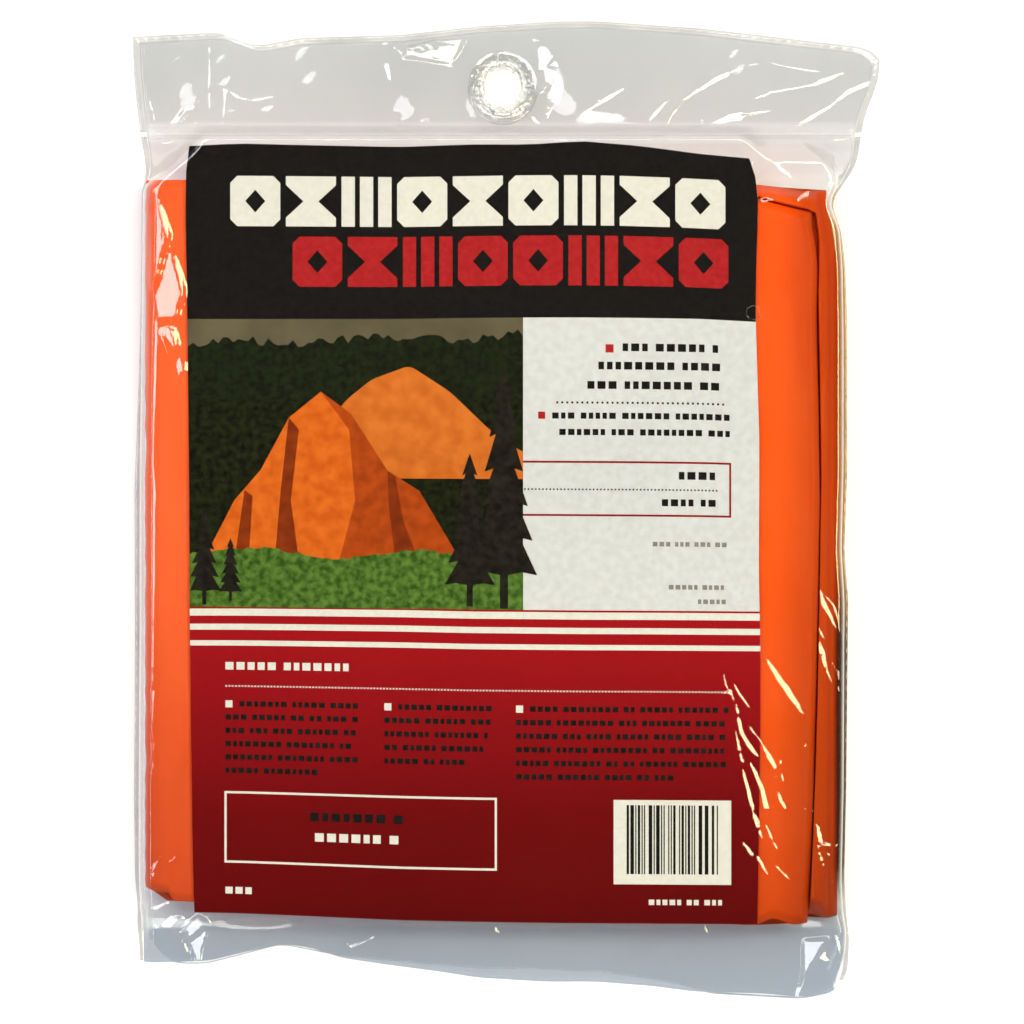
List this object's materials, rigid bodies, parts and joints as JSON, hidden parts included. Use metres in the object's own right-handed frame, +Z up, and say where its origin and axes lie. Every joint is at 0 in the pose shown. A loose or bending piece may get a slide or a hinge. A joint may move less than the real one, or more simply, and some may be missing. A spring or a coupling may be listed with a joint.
{
  "type": "packed emergency tube tent",
  "caption": "Folded tube of plastic film with an insert card and a rope hank, packed flat in a clear open-ended bag with a folding hang header and a ringed hang hole.",
  "frame": {"origin": "centre of the pack's outline, in the plane of the surface that it lies on", "axes": "+X across the pack, +Y along it towards the hang header, +Z up out of its printed front"},
  "size_m": [0.2288, 0.2999, 0.0201],
  "materials": {
    "clear_film": "clear wrinkled film, glossy",
    "film_weld": "clear film melted together along a seam",
    "clear_ring": "clear moulded ring, crazed",
    "printed_card": "printed card, satin",
    "orange_film": "folded orange film, soft gloss",
    "rope": "braided white cord",
    "tie_band": "dark elastic band"
  },
  "bodies": {
    "bag": {"bag_back_film": "clear_film", "bag_front_film": "clear_film", "bag_left_gusset": "clear_film", "bag_right_gusset": "clear_film", "bag_left_weld": "film_weld", "bag_right_weld": "film_weld", "bag_cross_weld": "film_weld"},
    "header": {"header_front_film": "clear_film", "header_back_film": "clear_film", "header_seam": "film_weld", "hang_ring_front": "clear_ring", "hang_ring_back": "clear_ring"},
    "tent": {"folded_tent": "orange_film"},
    "card": {"insert_card": "printed_card"},
    "rope": {"rope_hank": "rope", "rope_tie": "tie_band"}
  },
  "joints": [
    {"name": "header_fold", "type": "hinge", "parent": "bag", "child": "header", "pos_m": [0, 0.11463, 0.01], "axis": [1, 0, 0], "range_deg": [0, 105]},
    {"name": "tent_slide", "type": "slide", "parent": "bag", "child": "tent", "axis": [0, -1, 0], "range_m": [0, 0.265]},
    {"name": "card_slide", "type": "slide", "parent": "bag", "child": "card", "axis": [0, -1, 0], "range_m": [0, 0.275]},
    {"name": "rope_slide", "type": "slide", "parent": "tent", "child": "rope", "axis": [0, -1, 0], "range_m": [0, 0.235]}
  ]
}
